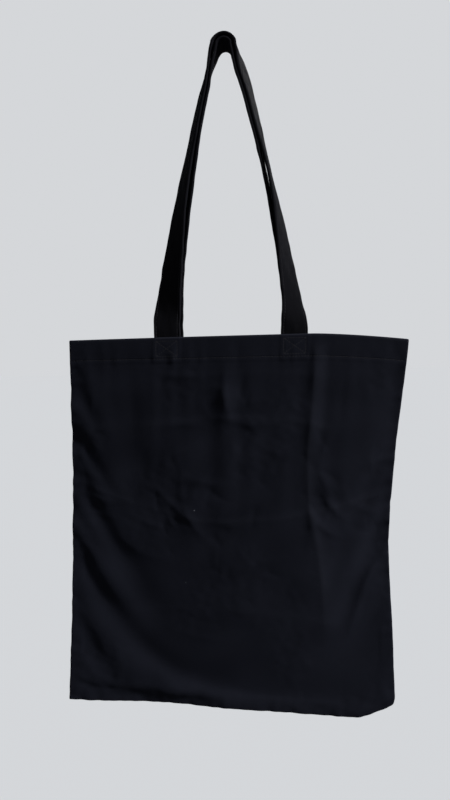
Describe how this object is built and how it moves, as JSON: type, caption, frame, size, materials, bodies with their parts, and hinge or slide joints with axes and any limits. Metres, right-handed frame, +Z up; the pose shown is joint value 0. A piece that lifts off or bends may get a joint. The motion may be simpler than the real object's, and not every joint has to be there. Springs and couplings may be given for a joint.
{
  "type": "canvas tote bag",
  "caption": "Flat unlined canvas tote bag with an open mouth, folded hem and twin shoulder straps sewn inside it, hanging empty from a hook.",
  "frame": {"origin": "the point where a hook bears, under the crown of the inner handle loop", "axes": "+Z up along the bag's height, +X to the right along the mouth as seen from the front, -Y out of the front face"},
  "size_m": [0.3655, 0.0451, 0.6989],
  "materials": {
    "canvas": "plain-weave cotton canvas, matt black with a faint blue cast",
    "strap_canvas": "folded cotton canvas, matt black",
    "raw_edge_canvas": "cut canvas edge, slightly frayed, matt black",
    "thread": "spun polyester sewing thread, black with a soft sheen"
  },
  "bodies": {
    "bag": {"front_panel": "canvas", "back_panel": "canvas", "front_hem": "canvas", "back_hem": "canvas", "left_seam_allowance": "raw_edge_canvas", "right_seam_allowance": "raw_edge_canvas", "bottom_seam_allowance": "raw_edge_canvas", "front_left_strap_end": "strap_canvas", "front_right_strap_end": "strap_canvas", "back_left_strap_end": "strap_canvas", "back_right_strap_end": "strap_canvas", "front_hem_stitching": "thread", "back_hem_stitching": "thread", "front_left_box_stitch": "thread", "front_right_box_stitch": "thread", "back_left_box_stitch": "thread", "back_right_box_stitch": "thread", "left_seam_stitching": "thread", "right_seam_stitching": "thread", "bottom_seam_stitching": "thread"},
    "front_handle": {"front_handle_strap": "strap_canvas", "front_handle_stitching": "thread"},
    "back_handle": {"back_handle_strap": "strap_canvas", "back_handle_stitching": "thread"}
  },
  "joints": [
    {"name": "front_handle_swing", "type": "hinge", "parent": "bag", "child": "front_handle", "pos_m": [0, -0.014, -0.288], "axis": [1, 0, 0], "range_deg": [0, 160]},
    {"name": "back_handle_swing", "type": "hinge", "parent": "bag", "child": "back_handle", "pos_m": [0, 0.014, -0.288], "axis": [-1, 0, 0], "range_deg": [0, 160]}
  ]
}
